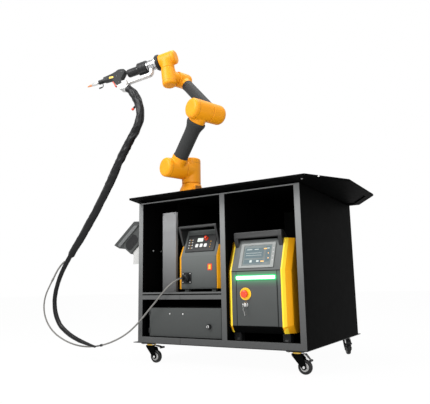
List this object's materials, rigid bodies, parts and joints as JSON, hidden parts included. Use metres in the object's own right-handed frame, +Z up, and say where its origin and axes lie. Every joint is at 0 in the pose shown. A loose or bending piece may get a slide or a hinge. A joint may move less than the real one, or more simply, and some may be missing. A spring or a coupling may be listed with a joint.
{
  "type": "robot arm welding workstation on a cart",
  "caption": "Yellow six-axis robot arm with a welding torch on a black wheeled cart that houses a laser source, a wire feeder, a control box and a teach pendant",
  "frame": {"origin": "on the floor under the middle of the cabinet", "axes": "+X along the open front to the right, +Y from the front to the back, +Z up"},
  "size_m": [2.0597, 1.2509, 1.9367],
  "materials": {
    "frame_steel": "satin dark grey powder coat on the tubes and rails",
    "panel_black": "matt black powder coat on sheets and table",
    "box_grey": "satin grey paint on boxes and machine fronts",
    "robot_yellow": "smooth orange-yellow paint on the arm's castings",
    "arm_grey": "satin dark grey paint on the arm's tubes",
    "cover_yellow": "orange-yellow paint on machine covers",
    "black_plastic": "fine-grained black moulding",
    "grey_plastic": "light grey moulding of the pendant and bezel",
    "bright_steel": "bare or zinc-plated steel",
    "white_aluminium": "pale anodised aluminium of the tool bracket",
    "zinc_yellow": "yellow-passivated steel of the casters' swivel rings",
    "tyre_black": "black tread with a light hub",
    "red_plastic": "red push button, trigger and rocker",
    "signal_yellow": "yellow ring behind the emergency stop",
    "light_green": "lit green status bar",
    "sleeve_fabric": "black textile hose sleeve",
    "conduit_grey": "grey wire conduit"
  },
  "bodies": {
    "cart": {"base_plate": "panel_black", "front_posts": "frame_steel", "front_rails": "frame_steel", "side_panels": "panel_black", "back_panel": "panel_black", "bay_partition": "panel_black", "shelf": "frame_steel", "shelf_divider": "panel_black", "table_top": "panel_black", "caster_plates": "panel_black", "caster_rings": "zinc_yellow", "laser_housing": "box_grey", "laser_covers": "cover_yellow", "laser_handle": "black_plastic", "laser_screen": "grey_plastic", "laser_light_bar": "light_green", "laser_stop_collar": "signal_yellow", "laser_key_switch": "bright_steel", "laser_feet": "black_plastic", "feeder_housing": "box_grey", "feeder_covers": "cover_yellow", "feeder_hood": "black_plastic", "feeder_panel": "black_plastic", "feeder_socket": "black_plastic", "feeder_switch": "red_plastic", "tall_box": "box_grey", "control_box": "box_grey", "teach_pendant": "grey_plastic", "pendant_bracket": "white_aluminium", "robot_base": "robot_yellow", "hose_sleeve": "sleeve_fabric", "feed_conduit": "conduit_grey"},
    "control_door": {"control_box_door": "box_grey"},
    "stop_button": {"laser_stop_button": "red_plastic"},
    "shoulder_link": {"shoulder": "robot_yellow"},
    "upper_arm": {"upper_arm_shoulder": "robot_yellow", "upper_arm_tube": "arm_grey", "elbow_housing": "robot_yellow"},
    "forearm": {"forearm_elbow": "robot_yellow", "forearm_tube": "arm_grey", "forearm_wrist": "robot_yellow"},
    "wrist_1_link": {"wrist_1": "robot_yellow"},
    "wrist_2_link": {"wrist_2": "robot_yellow"},
    "tool": {"tool_flange": "black_plastic", "tool_adapter": "white_aluminium", "tool_sensor": "black_plastic", "torch_body": "black_plastic", "torch_nozzle": "bright_steel", "torch_clamp": "bright_steel"},
    "trigger": {"torch_trigger": "red_plastic"},
    "fork_front_left": {"caster_fork_front_left": "panel_black"},
    "wheel_front_left": {"caster_wheel_front_left": "tyre_black"},
    "fork_front_right": {"caster_fork_front_right": "panel_black"},
    "wheel_front_right": {"caster_wheel_front_right": "tyre_black"},
    "fork_back_right": {"caster_fork_back_right": "panel_black"},
    "wheel_back_right": {"caster_wheel_back_right": "tyre_black"},
    "fork_back_left": {"caster_fork_back_left": "panel_black"},
    "wheel_back_left": {"caster_wheel_back_left": "tyre_black"}
  },
  "joints": [
    {"name": "base_joint", "type": "hinge", "parent": "cart", "child": "shoulder_link", "pos_m": [-0.168, -0.43, 0.999], "axis": [0, 0, 1], "range_deg": [-170, 170], "deforming": ["hose_sleeve", "feed_conduit"]},
    {"name": "shoulder_joint", "type": "hinge", "parent": "shoulder_link", "child": "upper_arm", "pos_m": [-0.2057, -0.54603, 1.157], "axis": [-0.309, -0.9511, 0], "range_deg": [-30, 45]},
    {"name": "elbow_joint", "type": "hinge", "parent": "upper_arm", "child": "forearm", "pos_m": [0.04104, -0.6262, 1.44819], "axis": [-0.309, -0.9511, 0], "range_deg": [-110, 30]},
    {"name": "wrist_1_joint", "type": "hinge", "parent": "forearm", "child": "wrist_1_link", "pos_m": [-0.21857, -0.43881, 1.76273], "axis": [-0.309, -0.9511, 0], "range_deg": [-90, 90]},
    {"name": "wrist_2_joint", "type": "hinge", "parent": "wrist_1_link", "child": "wrist_2_link", "pos_m": [-0.25349, -0.54627, 1.76273], "axis": [-0.1602, 0.0521, 0.9857], "range_deg": [-85, 120]},
    {"name": "tool_joint", "type": "hinge", "parent": "wrist_2_link", "child": "tool", "pos_m": [-0.2732, -0.53987, 1.88397], "axis": [-0.9742, -0.169, -0.1495], "range_deg": [-170, 170]},
    {"name": "trigger_joint", "type": "hinge", "parent": "tool", "child": "trigger", "pos_m": [-0.66597, -0.60963, 1.80301], "axis": [-0.1588, 0.9842, -0.0778], "range_deg": [-6, 0], "stiffness_Nm_per_rad": 2, "springref_deg": 8.59},
    {"name": "control_door_joint", "type": "hinge", "parent": "cart", "child": "control_door", "pos_m": [-0.471, -0.454, 0.244], "axis": [0, 0, 1], "range_deg": [-90, 0]},
    {"name": "stop_joint", "type": "slide", "parent": "cart", "child": "stop_button", "axis": [0, -1, 0], "range_m": [-0.004, 0]},
    {"name": "swivel_front_left", "type": "hinge", "parent": "cart", "child": "fork_front_left", "pos_m": [-0.48, -0.425, 0.1026], "axis": [0, 0, 1], "continuous": true},
    {"name": "roll_front_left", "type": "hinge", "parent": "fork_front_left", "child": "wheel_front_left", "pos_m": [-0.442, -0.425, 0.0375], "axis": [0, -1, 0], "continuous": true},
    {"name": "swivel_front_right", "type": "hinge", "parent": "cart", "child": "fork_front_right", "pos_m": [0.48, -0.425, 0.1026], "axis": [0, 0, 1], "continuous": true},
    {"name": "roll_front_right", "type": "hinge", "parent": "fork_front_right", "child": "wheel_front_right", "pos_m": [0.518, -0.425, 0.0375], "axis": [0, -1, 0], "continuous": true},
    {"name": "swivel_back_right", "type": "hinge", "parent": "cart", "child": "fork_back_right", "pos_m": [0.48, 0.425, 0.1026], "axis": [0, 0, 1], "continuous": true},
    {"name": "roll_back_right", "type": "hinge", "parent": "fork_back_right", "child": "wheel_back_right", "pos_m": [0.499, 0.39209, 0.0375], "axis": [-0.866, -0.5, 0], "continuous": true},
    {"name": "swivel_back_left", "type": "hinge", "parent": "cart", "child": "fork_back_left", "pos_m": [-0.48, 0.425, 0.1026], "axis": [0, 0, 1], "continuous": true},
    {"name": "roll_back_left", "type": "hinge", "parent": "fork_back_left", "child": "wheel_back_left", "pos_m": [-0.51291, 0.444, 0.0375], "axis": [0.5, 0.866, 0], "continuous": true}
  ]
}
